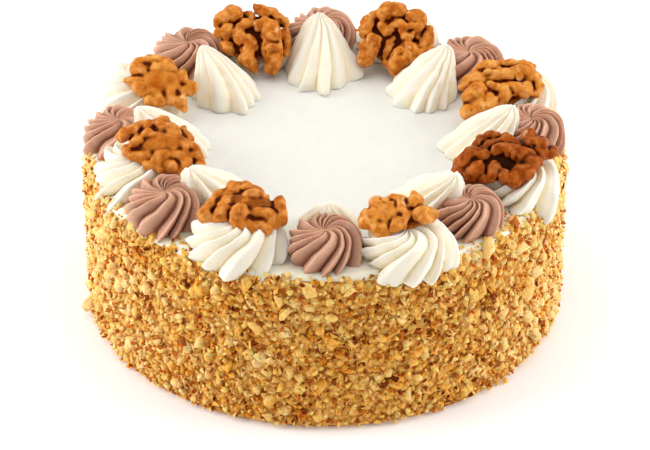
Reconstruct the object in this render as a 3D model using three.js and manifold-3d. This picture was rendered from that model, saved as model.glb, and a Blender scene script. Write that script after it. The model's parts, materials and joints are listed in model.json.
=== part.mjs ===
// A round walnut cake: sides coated in chopped nuts, a smooth cream top, and round its edge a ring of
// piped cocoa and cream rosettes, with a walnut half on each cream one and a pulled cream drop behind
// each cocoa one. Millimetres, +Z up. The origin is the centre of the base, and the front faces -Y.
import * as THREE from "three";
import { mergeVertices } from "three/addons/utils/BufferGeometryUtils.js";
import Module from "manifold-3d";

const wasm = await Module();
wasm.setup();

// The cake and its two coats
const CAKE_RADIUS = 100; // over the largest chopped nuts
const CAKE_HEIGHT = 72; // base to the flat of the cream
const CREAM_DEPTH = 4.5; // cream on top, and how far it shows down the rim
const NUT_PROUD = 2.6; // how far the largest nuts stand out of the coat
const COAT_RELIEF = 3; // hollows between the smaller nuts
const CRAG_DRIFT = 0.9; // share of the spacing of the crags by which they are out of line
const BASE_TUCK = 2; // how far the coat turns in at the base
const COAT_RADIUS = CAKE_RADIUS - NUT_PROUD;
const BODY_HEIGHT = CAKE_HEIGHT - CREAM_DEPTH;

// The ring of decorations. It is piped by hand, so each piece has its own angle, in degrees from the front
// and counter-clockwise from above, and its own distance from the cake's axis.
const COCOA_PLACES = [
  [0, 81.5], [44.5, 82], [90.5, 85], [131.5, 81.5], [181, 81], [223, 86.5], [269.5, 85], [311, 84],
];
const CREAM_PLACES = [
  [21.5, 86.5], [67.5, 86], [111, 85], [156.5, 84], [202, 84], [246, 85], [288.5, 81.5], [335.5, 82.5],
];
const DROP_PLACES = [
  [0.5, 63.5], [42.5, 62.5], [87, 63], [133, 57], [182, 57.5], [227, 56.5], [272.5, 62], [314, 60],
];
const SIZE_SPREAD = 0.05; // hand-piped sizes differ by this share either way
const GAP = 0.3; // left between pieces that press against each other

const COCOA = {
  radius: 14.8,
  height: 14.5,
  ridges: 12,
  ridgeDepth: 0.2, // share of the radius between a crest and a groove
  wind: 90, // degrees that a crest winds round from the foot to the top
  skirt: 2, // how far a crest hangs over the rim of the cake
  profile: [[0.9, 0.0], [1.0, 0.28], [0.88, 0.76], [0.5, 1.0]], // shares of radius and height
  middle: 0.88, // height of the middle, which lies a little lower than the crests round it
};
const CREAM = {
  radius: 18,
  height: 14.5,
  ridges: 10,
  ridgeDepth: 0.2,
  wind: 90,
  skirt: 6,
  profile: [[0.9, 0.0], [1.0, 0.28], [0.88, 0.76], [0.5, 1.0]],
  middle: 0.95,
};
const DROP = {
  radius: 14,
  height: 22,
  ridges: 10,
  ridgeDepth: 0.16,
  wind: 20,
  skirt: 0,
  lean: 14, // the peak is pulled this far towards the rim
  profile: [[0.92, 0.0], [1.0, 0.12], [0.8, 0.5], [0.34, 0.87]],
  middle: 1,
};

// The walnut halves, in the order of the cream rosettes. angle and ring place the middle of the nut as above,
// width is across the groove between the two lobes, yaw turns the groove, and tilt leans the top towards the
// middle of the cake.
const WALNUTS = [
  { angle: 21, ring: 81, width: 31, length: 27, yaw: 6, tilt: 12 },
  { angle: 64.5, ring: 80.5, width: 41, length: 31, yaw: 18, tilt: -4 },
  { angle: 107, ring: 76.5, width: 36, length: 29, yaw: 8, tilt: 22 },
  { angle: 155, ring: 71.5, width: 34, length: 32, yaw: -8, tilt: 50 },
  { angle: 206, ring: 71.5, width: 34, length: 31, yaw: 14, tilt: 44 },
  { angle: 250, ring: 73, width: 33, length: 27, yaw: -24, tilt: 20 },
  { angle: 291.5, ring: 71, width: 37, length: 28, yaw: -20, tilt: 25 },
  { angle: 336, ring: 78, width: 35, length: 29, yaw: -4, tilt: -1 },
];
const WALNUT_RISE = 9.2; // half-thickness above the nut's middle
const WALNUT_FALL = 5.6; // and below it, where the half is flatter
const WALNUT_SEAT = 14.6; // height of the nut's middle over the cream
const GROOVE_DEPTH = 4.2;
const GROOVE_HALF_WIDTH = 4;
const LOBES = 7; // scallops round the rim of a half
const LOBE_DEPTH = 0.1;

// The largest chopped nuts, in rows up the side
const NUT_ROWS = 5;
const NUTS_A_ROW = 12;
const NUT_SIZE = [5, 8]; // smallest and largest breadth
const NUT_LOWEST = 1;
const NUT_HIGHEST = 64; // the cream and its skirts hang down to here

const SIDE_SEGMENTS = 64;
const SIDE_ROWS = 8;
const RIM_SEGMENTS = 40;
const FINISHES = {
  nutCoat: new THREE.MeshStandardMaterial({ color: "#d6a05a", roughness: 0.75, metalness: 0 }),
  cream: new THREE.MeshStandardMaterial({ color: "#f6f0e0", roughness: 0.5, metalness: 0 }),
  cocoa: new THREE.MeshStandardMaterial({ color: "#b4866e", roughness: 0.6, metalness: 0 }),
  walnut: new THREE.MeshStandardMaterial({ color: "#b9722f", roughness: 0.55, metalness: 0 }),
};

const { degToRad, lerp } = THREE.MathUtils;
const random = seededRandom(7);

/** A repeatable source of numbers from 0 to 1. */
function seededRandom(seed) {
  let state = seed;
  return () => {
    state = (state + 0x6d2b79f5) | 0;
    let mixed = Math.imul(state ^ (state >>> 15), state | 1);
    mixed ^= mixed + Math.imul(mixed ^ (mixed >>> 7), mixed | 61);
    return ((mixed ^ (mixed >>> 14)) >>> 0) / 4294967296;
  };
}

/** A size between 1 - spread and 1 + spread. */
function uneven(spread = SIZE_SPREAD) {
  return 1 + spread * (2 * random() - 1);
}

/** The geometry with positions alone, shared corners merged and empty triangles dropped. */
function welded(geometry) {
  geometry.deleteAttribute("normal");
  geometry.deleteAttribute("uv");
  const merged = mergeVertices(geometry, 1e-4);
  const corners = [];
  for (let i = 0; i < merged.index.count; i += 3) {
    const [a, b, c] = [0, 1, 2].map((k) => merged.index.getX(i + k));
    if (a !== b && b !== c && c !== a) corners.push(a, b, c);
  }
  return merged.setIndex(corners);
}

/** Moves every vertex of a geometry by move(point, index), which changes the point in place. */
function reshape(geometry, move) {
  const positions = geometry.attributes.position;
  const point = new THREE.Vector3();
  for (let i = 0; i < positions.count; i++) {
    move(point.fromBufferAttribute(positions, i), i);
    positions.setXYZ(i, point.x, point.y, point.z);
  }
  return geometry;
}

/** A closed geometry as a solid that can be joined and cut. */
function solidOf(geometry) {
  const closed = welded(geometry.clone());
  return new wasm.Manifold(
    new wasm.Mesh({
      numProp: 3,
      vertProperties: new Float32Array(closed.attributes.position.array),
      triVerts: new Uint32Array(closed.index.array),
    }),
  );
}

/** The largest body of a solid as a geometry: scraps that a cut leaves loose are dropped. */
function geometryOf(solid) {
  const [largest] = solid.decompose().sort((a, b) => b.volume() - a.volume());
  const mesh = largest.getMesh();
  return new THREE.BufferGeometry()
    .setAttribute("position", new THREE.BufferAttribute(mesh.vertProperties, 3))
    .setIndex(new THREE.BufferAttribute(mesh.triVerts, 1));
}

/** A turned solid about Z from [radius, height] points that start and end on the axis. */
function turned(outline, segments) {
  const points = outline.map(([r, z]) => new THREE.Vector2(r, z));
  return new THREE.LatheGeometry(points, segments).rotateX(Math.PI / 2);
}

/** The outline of the cream's rounded rim, from its foot on the coat up to the flat top. */
function rimOutline(radius, foot, top, steps = 2) {
  const round = top - foot;
  return Array.from({ length: steps + 1 }, (_, i) => {
    const angle = ((i / steps) * Math.PI) / 2;
    return [radius - round * (1 - Math.cos(angle)), foot + round * Math.sin(angle)];
  });
}

/** The nut-coated side: a turned body whose side is broken up into crags by the smaller nuts. */
function coatedBody() {
  const rowHeight = (BODY_HEIGHT - BASE_TUCK) / (SIDE_ROWS - 1);
  const side = Array.from({ length: SIDE_ROWS }, (_, i) => [COAT_RADIUS, BASE_TUCK + i * rowHeight]);
  const outline = [[0, 0], [COAT_RADIUS - BASE_TUCK, 0], ...side, [0, BODY_HEIGHT]];
  const firstRow = 2;
  const lastRow = firstRow + SIDE_ROWS - 1;
  const crags = Array.from({ length: SIDE_SEGMENTS * outline.length }, () => ({
    reach: 1 - (COAT_RELIEF * random()) / COAT_RADIUS,
    turn: (CRAG_DRIFT * (random() - 0.5) * 2 * Math.PI) / SIDE_SEGMENTS,
    lift: CRAG_DRIFT * (random() - 0.5) * rowHeight,
  }));
  const axis = new THREE.Vector3(0, 0, 1);
  return reshape(turned(outline, SIDE_SEGMENTS), (point, i) => {
    const row = i % outline.length;
    if (row < firstRow || row > lastRow) return;
    const crag = crags[i % crags.length];
    point.x *= crag.reach;
    point.y *= crag.reach;
    point.applyAxisAngle(axis, crag.turn);
    if (row > firstRow && row < lastRow) point.z += crag.lift;
  });
}

/** One chopped nut: a lump with broken faces, part sunk in the coat, at a share of the side's height. */
function choppedNut(angle, share) {
  const breadth = lerp(NUT_SIZE[0], NUT_SIZE[1], random());
  const lump = welded(new THREE.BoxGeometry(breadth, breadth, breadth));
  reshape(lump, (point) => point.multiplyScalar(uneven(0.3)));
  lump.scale(uneven(0.25), uneven(0.25), uneven(0.25));
  lump.rotateX(random() * Math.PI).rotateY(random() * Math.PI);
  lump.computeBoundingBox();
  const { min, max } = lump.boundingBox;
  const outward = CAKE_RADIUS - max.x - random() * NUT_PROUD * 0.7;
  const height = lerp(NUT_LOWEST - min.z, NUT_HIGHEST - max.z, share);
  return lump.translate(outward, 0, height).rotateZ(angle);
}

/** The cake with the largest nuts joined to its side, in rows set like bricks. */
function cakeBody() {
  let solid = solidOf(coatedBody());
  for (let row = 0; row < NUT_ROWS; row++) {
    for (let i = 0; i < NUTS_A_ROW; i++) {
      const turn = (i + (row % 2) / 2 + 0.5 * random()) / NUTS_A_ROW;
      const share = (row + 0.5 * random()) / (NUT_ROWS - 0.5);
      solid = solid.add(solidOf(choppedNut(turn * 2 * Math.PI, share)));
    }
  }
  return geometryOf(solid);
}

/** The cream on top, rounded over the rim of the cake. */
function creamTop() {
  const outline = [[0, BODY_HEIGHT], ...rimOutline(COAT_RADIUS, BODY_HEIGHT, CAKE_HEIGHT), [0, CAKE_HEIGHT]];
  return turned(outline, RIM_SEGMENTS);
}

/** The cake and its cream, a gap larger, as a tool that cuts what is piped over them. */
function cakeTool() {
  const radius = CAKE_RADIUS + GAP;
  const rim = rimOutline(COAT_RADIUS + GAP, BODY_HEIGHT + GAP, CAKE_HEIGHT + GAP);
  const outline = [[0, 0], [radius, 0], [radius, NUT_HIGHEST], ...rim, [0, CAKE_HEIGHT + GAP]];
  return solidOf(turned(outline, RIM_SEGMENTS));
}

/**
 * Cream piped through a star nozzle: a turned outline gathered into ridges that wind round to a peak.
 * Every second line of the turned shape is a groove. It stands on Z 0, with its skirt below.
 */
function piped(shape, grow = 0) {
  const radius = shape.radius + grow;
  const height = shape.height + grow;
  const rings = shape.profile.map(([share, rise]) => [share * radius, rise * height]);
  const outline = [[0, -GAP], ...rings, [0, shape.middle * height]];
  const geometry = turned(outline, 2 * shape.ridges);
  return reshape(geometry, (point, i) => {
    const groove = Math.floor(i / outline.length) % 2 === 1;
    const row = i % outline.length;
    const rise = Math.max(point.z, 0) / height;
    const reach = Math.hypot(point.x, point.y);
    const angle = Math.atan2(point.y, point.x) + degToRad(shape.wind * rise + shape.start);
    const drawn = reach * (groove ? 1 - shape.ridgeDepth : 1);
    const pull = (shape.lean ?? 0) * rise ** 1.4;
    point.x = drawn * Math.cos(angle) + pull;
    point.y = drawn * Math.sin(angle);
    if (row <= 1) point.z -= groove ? shape.skirt * 0.6 : shape.skirt;
  });
}

/** A walnut half: two scalloped lobes either side of a groove along Y, rounded side up. */
function walnutHalf(nut, grow = 0) {
  const geometry = new THREE.SphereGeometry(1, 20, 7).rotateX(Math.PI / 2);
  return reshape(geometry, (point) => {
    const around = Math.atan2(point.y, point.x);
    const outer = 1 - point.z ** 2;
    const scallop = 1 + LOBE_DEPTH * outer * Math.cos(LOBES * around + nut.phase);
    const across = (nut.width / 2 + grow) * scallop * point.x;
    const middle = Math.exp(-((across / GROOVE_HALF_WIDTH) ** 2));
    const notch = 1 - 0.16 * middle * outer;
    const along = (nut.length / 2 + grow) * scallop * notch * point.y;
    const rise = point.z > 0 ? WALNUT_RISE + grow : WALNUT_FALL + grow;
    const groove = point.z > 0 ? GROOVE_DEPTH * middle * point.z : 0;
    point.set(across, along, rise * point.z - groove);
  });
}

/** A piece at an angle round the cake, with its +X outwards, as a mesh in a group that turns it there. */
function ringPiece(name, material, angle, radius, build) {
  const mesh = new THREE.Mesh(build(0), material);
  mesh.name = name;
  mesh.userData.build = build;
  mesh.position.set(radius, 0, CAKE_HEIGHT);
  const spoke = new THREE.Group();
  spoke.rotation.z = degToRad(angle - 90);
  spoke.add(mesh);
  cake.add(spoke);
  return mesh;
}

/** A piece's solid in the frame of the cake, grown by a margin. */
function placedSolid(mesh, grow = 0) {
  mesh.updateWorldMatrix(true, false);
  const geometry = grow ? mesh.userData.build(grow) : mesh.geometry.clone();
  return solidOf(geometry.applyMatrix4(mesh.matrixWorld));
}

/** Cuts a piece back from the others that it presses against, and from the cake. */
function fitAgainst(mesh, others, tool) {
  let solid = placedSolid(mesh).subtract(tool);
  for (const other of others) {
    solid = solid.subtract(placedSolid(other, GAP)).subtract(placedSolid(other));
  }
  mesh.geometry = geometryOf(solid).applyMatrix4(mesh.matrixWorld.clone().invert());
}

/** The sizes of one hand-piped piece, a little off those of its kind. */
function handPiped(kind) {
  return { ...kind, radius: kind.radius * uneven(), height: kind.height * uneven(), start: random() * 30 };
}

/** All the pieces of one kind of piped cream. */
function pipedRing(name, kind, places, material) {
  return places.map(([angle, ring], i) => {
    const shape = handPiped(kind);
    return ringPiece(`${name}_${i + 1}`, material, angle, ring, (grow) => piped(shape, grow));
  });
}

const cake = new THREE.Group();
const body = new THREE.Mesh(cakeBody(), FINISHES.nutCoat);
body.name = "cake_body";
const top = new THREE.Mesh(creamTop(), FINISHES.cream);
top.name = "cream_top";
cake.add(body, top);

const cocoaRosettes = pipedRing("cocoa_rosette", COCOA, COCOA_PLACES, FINISHES.cocoa);
const creamRosettes = pipedRing("cream_rosette", CREAM, CREAM_PLACES, FINISHES.cream);
const creamDrops = pipedRing("cream_drop", DROP, DROP_PLACES, FINISHES.cream);
const walnuts = WALNUTS.map((size, i) => {
  const nut = { ...size, phase: random() * 2 * Math.PI };
  const build = (grow) => walnutHalf(nut, grow);
  const half = ringPiece(`walnut_${i + 1}`, FINISHES.walnut, nut.angle, nut.ring, build);
  half.position.z += WALNUT_SEAT;
  half.rotation.set(0, degToRad(-nut.tilt), degToRad(90 - nut.angle + nut.yaw), "YZX");
  return half;
});

const tool = cakeTool();
cocoaRosettes.forEach((piece) => fitAgainst(piece, walnuts, tool));
creamRosettes.forEach((piece) => fitAgainst(piece, [...walnuts, ...cocoaRosettes], tool));
creamDrops.forEach((piece) => fitAgainst(piece, [...walnuts, ...cocoaRosettes, ...creamRosettes], tool));

export default cake;
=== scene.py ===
"""A round walnut cake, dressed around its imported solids.

Chopped nuts coat the side and smooth cream covers the top. Round the edge runs a hand-piped ring of cocoa and
cream rosettes, with a walnut half on each cream one and a pulled drop of cream behind each cocoa one.
Metres, in the frame of the solids: +Z up, the front towards -Y, the origin at the centre of the base.
"""

import json
import logging
import math
from collections.abc import Mapping, Sequence
from dataclasses import dataclass
from enum import Enum
from typing import Any

import bmesh
import bpy
import numpy as np
from mathutils import Matrix, Vector, noise

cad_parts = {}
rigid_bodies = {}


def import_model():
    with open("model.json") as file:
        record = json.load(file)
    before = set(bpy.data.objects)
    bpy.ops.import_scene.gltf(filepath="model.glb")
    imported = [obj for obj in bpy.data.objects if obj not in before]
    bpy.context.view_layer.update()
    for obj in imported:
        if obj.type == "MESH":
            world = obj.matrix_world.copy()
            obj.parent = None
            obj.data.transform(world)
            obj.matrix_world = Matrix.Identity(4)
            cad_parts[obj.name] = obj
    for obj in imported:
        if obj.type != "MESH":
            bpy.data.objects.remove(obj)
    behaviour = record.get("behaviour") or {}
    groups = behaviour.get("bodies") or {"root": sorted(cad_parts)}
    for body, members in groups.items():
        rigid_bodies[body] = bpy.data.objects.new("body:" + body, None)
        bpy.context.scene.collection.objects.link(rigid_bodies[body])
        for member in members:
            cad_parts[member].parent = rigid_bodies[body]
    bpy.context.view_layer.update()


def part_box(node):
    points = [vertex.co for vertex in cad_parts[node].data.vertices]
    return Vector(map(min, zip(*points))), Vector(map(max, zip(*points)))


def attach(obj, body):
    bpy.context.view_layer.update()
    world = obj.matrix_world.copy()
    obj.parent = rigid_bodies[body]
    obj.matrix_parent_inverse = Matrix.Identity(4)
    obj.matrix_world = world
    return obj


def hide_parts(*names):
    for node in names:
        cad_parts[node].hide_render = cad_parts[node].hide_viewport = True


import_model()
log = logging.getLogger("walnut_cake")

MM = 0.001
Colour = tuple[float, float, float, float]
Stops = Sequence[tuple[float, Colour]]
Curve = Sequence[tuple[float, float]]
Point = tuple[float, float, float]
Socket = bpy.types.NodeSocket
Material = bpy.types.Material
Mesh = bpy.types.Mesh

# The cake, as its solids have it
CAKE_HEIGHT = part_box("cream_top")[1].z
CREAM_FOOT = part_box("cream_top")[0].z
COAT_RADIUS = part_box("cream_top")[1].x

# Where each piece of the hand-piped ring sits: degrees from the front, counter-clockwise from above, then the
# distance from the axis in millimetres, then its size against the others of its kind
COCOA_PLACES = ((0, 81.5, 1.0), (44.5, 82, 0.98), (90.5, 85, 1.0), (131.5, 82, 1.12), (181, 81, 1.04),
                (223, 86.5, 1.07), (269.5, 85, 0.97), (311, 84, 1.05))
CREAM_PLACES = ((21.5, 86.5, 0.99), (67.5, 84, 1.0), (111, 85, 1.0), (156.5, 84, 0.98), (202, 84, 0.98),
                (246, 85, 1.0), (289.5, 79.5, 1.0), (335.5, 82.5, 1.04))
DROP_PLACES = ((1.5, 62.5, 0.77), (42.5, 62.5, 1.02), (87, 63, 1.03), (133, 57, 0.95), (182, 57.5, 1.08),
               (227, 56.5, 0.95), (272.5, 62, 0.98), (314, 60, 1.02))


def tint(red: int, green: int, blue: int) -> Colour:
    """A colour for a shader from its screen values.

    Args:
        red: Red from 0 to 255, as a screen shows it.
        green: Green, likewise.
        blue: Blue, likewise.

    Returns:
        The colour in linear light, opaque.
    """
    shares = (channel / 255 for channel in (red, green, blue))
    linear = (s / 12.92 if s <= 0.04045 else ((s + 0.055) / 1.055) ** 2.4 for s in shares)
    return (*linear, 1.0)


class Slot(Enum):
    """The material slots of the record."""

    NUT_COAT = "nut_coat"
    CREAM = "cream"
    COCOA = "cocoa_cream"
    WALNUT = "walnut"


def spoke(angle: float, radius: float, height: float) -> Matrix:
    """The place of a piece of the ring.

    Args:
        angle: Degrees from the front, counter-clockwise from above.
        radius: Distance from the axis of the cake.
        height: Height over the base.

    Returns:
        A matrix that sets the piece there, with its own +X pointing outwards.
    """
    turn = Matrix.Rotation(math.radians(angle - 90), 4, "Z")
    return turn @ Matrix.Translation((radius, 0, height))


def new_mesh(name: str, vertices: np.ndarray, faces: Sequence[Sequence[int]]) -> Mesh:
    """A smooth-shaded mesh.

    Args:
        name: The name of the mesh.
        vertices: Points, one a row.
        faces: The vertex numbers of each face.

    Returns:
        The mesh, with its faces as given.
    """
    mesh = bpy.data.meshes.new(name)
    mesh.from_pydata(vertices.tolist(), [], faces)
    mesh.shade_smooth()
    return mesh


def new_object(name: str, data: bpy.types.ID) -> bpy.types.Object:
    """An object in the scene.

    Args:
        name: The object's name.
        data: What it shows or does: a mesh, a light or a camera.

    Returns:
        The object.
    """
    thing = bpy.data.objects.new(name, data)
    bpy.context.scene.collection.objects.link(thing)
    return thing


def mark(mesh: Mesh, name: str, values: np.ndarray) -> None:
    """Stores a number for each vertex of a mesh, by name."""
    layer = mesh.attributes.new(name, "FLOAT", "POINT")
    layer.data.foreach_set("value", values.astype(np.float32))


def hand_over(name: str, mesh: Mesh, nodes: Sequence[str] = ()) -> None:
    """Makes a finished mesh a piece of the cake, riding on it.

    Args:
        name: The name of the piece.
        mesh: Its mesh, in place.
        nodes: The solids that it stands for.
    """
    piece = new_object(name, mesh)
    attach(piece, "root")
    if nodes:
        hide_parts(*nodes)
    mesh.calc_loop_triangles()
    log.info("%s: %d triangles", name, len(mesh.loop_triangles))


def lathe(outline: Curve, segments: int) -> tuple[np.ndarray, list[Sequence[int]]]:
    """A closed turned surface about Z.

    Args:
        outline: Radius and height of each ring, from a lower point on the axis to an upper one.
        segments: Steps round the axis.

    Returns:
        Vertices and faces, facing outwards.
    """
    radii, heights = np.array(outline[1:-1]).T
    around = np.arange(segments) * 2 * math.pi / segments
    level = np.outer(heights, np.ones(segments))
    rings = np.stack([np.outer(radii, np.cos(around)), np.outer(radii, np.sin(around)), level], -1)
    poles = np.array([(0.0, 0.0, outline[0][1]), (0.0, 0.0, outline[-1][1])])
    row, column = np.meshgrid(np.arange(len(radii) - 1) * segments, np.arange(segments), indexing="ij")
    beside = (column + 1) % segments
    quads = np.stack([row + column, row + beside, row + segments + beside, row + segments + column], -1)
    low = len(radii) * segments
    last = low - segments
    fans = [(low, (i + 1) % segments, i) for i in range(segments)]
    fans += [(low + 1, last + i, last + (i + 1) % segments) for i in range(segments)]
    return np.vstack([rings.reshape(-1, 3), poles]), [*quads.reshape(-1, 4).tolist(), *fans]


def find(sockets: Sequence[Socket], key: str) -> Socket:
    """The socket with an identifier, or failing that a name."""
    by_identifier = [s for s in sockets if s.identifier == key]
    return (by_identifier or [s for s in sockets if s.name == key and s.enabled])[0]


def new_node(
    tree: bpy.types.NodeTree, kind: str, inputs: Mapping[str, Any], settings: Mapping[str, Any]
) -> bpy.types.Node:
    """Adds a node to a tree.

    Args:
        tree: The tree.
        kind: The node's type.
        inputs: A socket or a plain value for each input, by identifier or name.
        settings: The node's own settings.

    Returns:
        The node.
    """
    node = tree.nodes.new(kind)
    for key, value in settings.items():
        setattr(node, key, value)
    for key, value in inputs.items():
        socket = find(node.inputs, key)
        if isinstance(value, Socket):
            tree.links.new(value, socket)
        else:
            socket.default_value = value
    return node


class Field:
    """A value that varies over a Geometry Nodes mesh, written with ordinary operators."""

    def __init__(self, tree: "GeometryTree", socket: Socket) -> None:
        """Wraps one output socket of a tree."""
        self.tree = tree
        self.socket = socket

    def math(self, operation: str, *others: "Field | float") -> "Field":
        """A Math node on this value and others.

        Args:
            operation: The node's operation.
            others: Its further operands.

        Returns:
            The result.
        """
        names = ("Value", "Value_001", "Value_002")
        return self.tree.add("ShaderNodeMath", dict(zip(names, (self, *others))), operation=operation)

    def __add__(self, other: "Field | float") -> "Field":
        """The sum."""
        return self.math("ADD", other)

    def __radd__(self, other: float) -> "Field":
        """The sum, with a number first."""
        return self.math("ADD", other)

    def __sub__(self, other: "Field | float") -> "Field":
        """The difference."""
        return self.math("SUBTRACT", other)

    def __rsub__(self, other: float) -> "Field":
        """The difference, with a number first."""
        return (self * -1.0) + other

    def __mul__(self, other: "Field | float") -> "Field":
        """The product."""
        return self.math("MULTIPLY", other)

    def __truediv__(self, other: "Field | float") -> "Field":
        """The quotient."""
        return self.math("DIVIDE", other)

    def __pow__(self, other: float) -> "Field":
        """The power."""
        return self.math("POWER", other)

    def cos(self) -> "Field":
        """The cosine."""
        return self.math("COSINE")

    def sin(self) -> "Field":
        """The sine."""
        return self.math("SINE")

    def step(self, low: float, high: float) -> "Field":
        """A smooth step from 0 at low to 1 at high."""
        inputs = {"Value": self, "From Min": low, "From Max": high}
        return self.tree.add("ShaderNodeMapRange", inputs, interpolation_type="SMOOTHSTEP")

    def along(self, points: Curve) -> "Field":
        """This value looked up on a smooth curve.

        Args:
            points: What the curve runs through, for values from 0 to 1.

        Returns:
            The height of the curve.
        """
        result = self.tree.add("ShaderNodeFloatCurve", {"Value": self})
        node = result.socket.node
        line = node.mapping.curves[0]
        for _ in range(len(points) - len(line.points)):
            line.points.new(0.5, 0.5)
        for knot, place in zip(line.points, points):
            knot.location = place
        node.mapping.update()
        return result


class GeometryTree:
    """A Geometry Nodes tree under construction, with named inputs for its sizes."""

    def __init__(self, name: str) -> None:
        """Starts a tree that takes and gives one geometry.

        Args:
            name: The tree's name.
        """
        self.group = bpy.data.node_groups.new(name, "GeometryNodeTree")
        for way in ("INPUT", "OUTPUT"):
            self.group.interface.new_socket("Geometry", in_out=way, socket_type="NodeSocketGeometry")
        self._source = self.group.nodes.new("NodeGroupInput")
        self._sink = self.group.nodes.new("NodeGroupOutput")

    def given(self, name: str, kind: str = "NodeSocketFloat") -> Field:
        """A named input of the tree.

        Args:
            name: The input's name.
            kind: Its socket type.

        Returns:
            The value that the modifier sets.
        """
        self.group.interface.new_socket(name, in_out="INPUT", socket_type=kind)
        return Field(self, self._source.outputs[name])

    def geometry(self) -> Field:
        """The geometry that the tree is given."""
        return Field(self, self._source.outputs["Geometry"])

    def add(
        self, kind: str, inputs: Mapping[str, Any] | None = None, output: str = "", **settings: Any
    ) -> Field:
        """Adds a node.

        Args:
            kind: The node's type.
            inputs: A field or a plain value for each input, by identifier or name.
            output: The output wanted, the first if left out.
            settings: The node's own settings.

        Returns:
            That output.
        """
        given = {key: v.socket if isinstance(v, Field) else v for key, v in (inputs or {}).items()}
        node = new_node(self.group, kind, given, settings)
        return Field(self, find(node.outputs, output) if output else node.outputs[0])

    def other(self, field: Field, output: str) -> Field:
        """Another output of the node that a field comes from."""
        return Field(self, find(field.socket.node.outputs, output))

    def random(self, low: float, high: float, seed: Field | int, item: Field | None = None) -> Field:
        """A random number for each element.

        Args:
            low: The least.
            high: The most.
            seed: What the draw depends on.
            item: What elements share a number, each its own if left out.

        Returns:
            The number.
        """
        inputs: dict[str, Any] = {"Min_001": low, "Max_001": high, "Seed": seed}
        if item is not None:
            inputs["ID"] = item
        return self.add("FunctionNodeRandomValue", inputs, "Value_001", data_type="FLOAT")

    def vector(self, x: Field | float, y: Field | float, z: Field | float) -> Field:
        """A vector from its three parts."""
        return self.add("ShaderNodeCombineXYZ", {"X": x, "Y": y, "Z": z})

    def scaled(self, vector: Field, factor: Field | float) -> Field:
        """A vector times a number."""
        return self.add("ShaderNodeVectorMath", {"Vector": vector, "Scale": factor}, operation="SCALE")

    def keep(self, mesh: Field, name: str, value: Field, domain: str = "POINT", kind: str = "FLOAT") -> Field:
        """A geometry with a value stored on it by name."""
        inputs = {"Geometry": mesh, "Name": name, "Value": value}
        return self.add("GeometryNodeStoreNamedAttribute", inputs, domain=domain, data_type=kind)

    def noise(self, place: Field, size: float, output: str = "Fac") -> Field:
        """Cloudy noise with features of about one size."""
        return self.add("ShaderNodeTexNoise", {"Vector": place, "Scale": 1 / size, "Detail": 2.0}, output)

    def finish(self, mesh: Field, material: Material) -> None:
        """Ends the tree with plain, dressed geometry.

        Args:
            mesh: The geometry.
            material: What it is dressed in.
        """
        real = self.add("GeometryNodeRealizeInstances", {"Geometry": mesh})
        dressed = self.add("GeometryNodeSetMaterial", {"Geometry": real, "Material": material})
        self.group.links.new(dressed.socket, self._sink.inputs["Geometry"])

    def run(self, name: str, sizes: Mapping[str, Any], start: Mesh | None = None) -> Mesh:
        """Evaluates the tree.

        Args:
            name: The name of the result.
            sizes: A value for each named input.
            start: The mesh that the tree begins from, where it needs one.

        Returns:
            The result as a plain mesh.
        """
        carrier = new_object(name, start or bpy.data.meshes.new(name))
        modifier = carrier.modifiers.new("tree", "NODES")
        modifier.node_group = self.group
        for item in self.group.interface.items_tree:
            if item.in_out == "INPUT" and item.name in sizes:
                modifier[item.identifier] = sizes[item.name]
        graph = bpy.context.evaluated_depsgraph_get()
        mesh = bpy.data.meshes.new_from_object(
            carrier.evaluated_get(graph), preserve_all_data_layers=True, depsgraph=graph
        )
        bpy.data.objects.remove(carrier)
        mesh.name = name
        return mesh


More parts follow.
